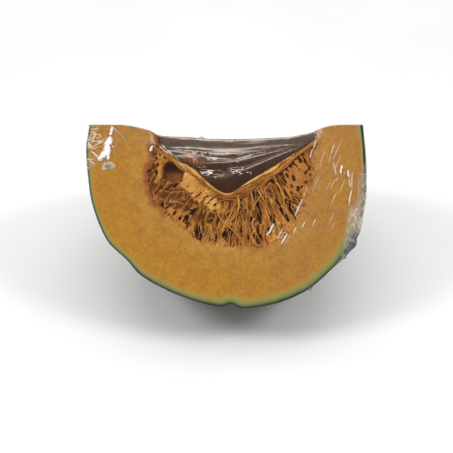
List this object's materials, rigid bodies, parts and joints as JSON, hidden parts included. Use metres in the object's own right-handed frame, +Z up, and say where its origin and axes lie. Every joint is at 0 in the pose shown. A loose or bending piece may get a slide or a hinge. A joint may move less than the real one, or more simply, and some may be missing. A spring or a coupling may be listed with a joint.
{
  "type": "kabocha squash quarter in cling film",
  "caption": "Quarter of a kabocha squash cut pole to pole, with ribbed green rind, orange flesh and stringy pulp round an open seed hollow, wrapped in cling film; it lies on its rind.",
  "frame": {"origin": "middle of the footprint box, on the surface that the quarter lies on", "axes": "+X along the fruit's axis from the stem pole to the blossom pole, +Z up, the first cut face looks towards -Y and up"},
  "size_m": [0.1524, 0.1412, 0.0984],
  "materials": {
    "rind_and_flesh": "fine-grained moist orange flesh, light green under a dark green waxy rind",
    "pulp": "moist brown-orange strings and skins",
    "film": "clear, glossy, wrinkled stretch film",
    "fleck": "dry grey-beige scrap"
  },
  "bodies": {
    "root": {"squash_wedge": "rind_and_flesh", "seed_pulp": "pulp", "cling_film": "film", "grey_fleck": "fleck"}
  },
  "joints": []
}
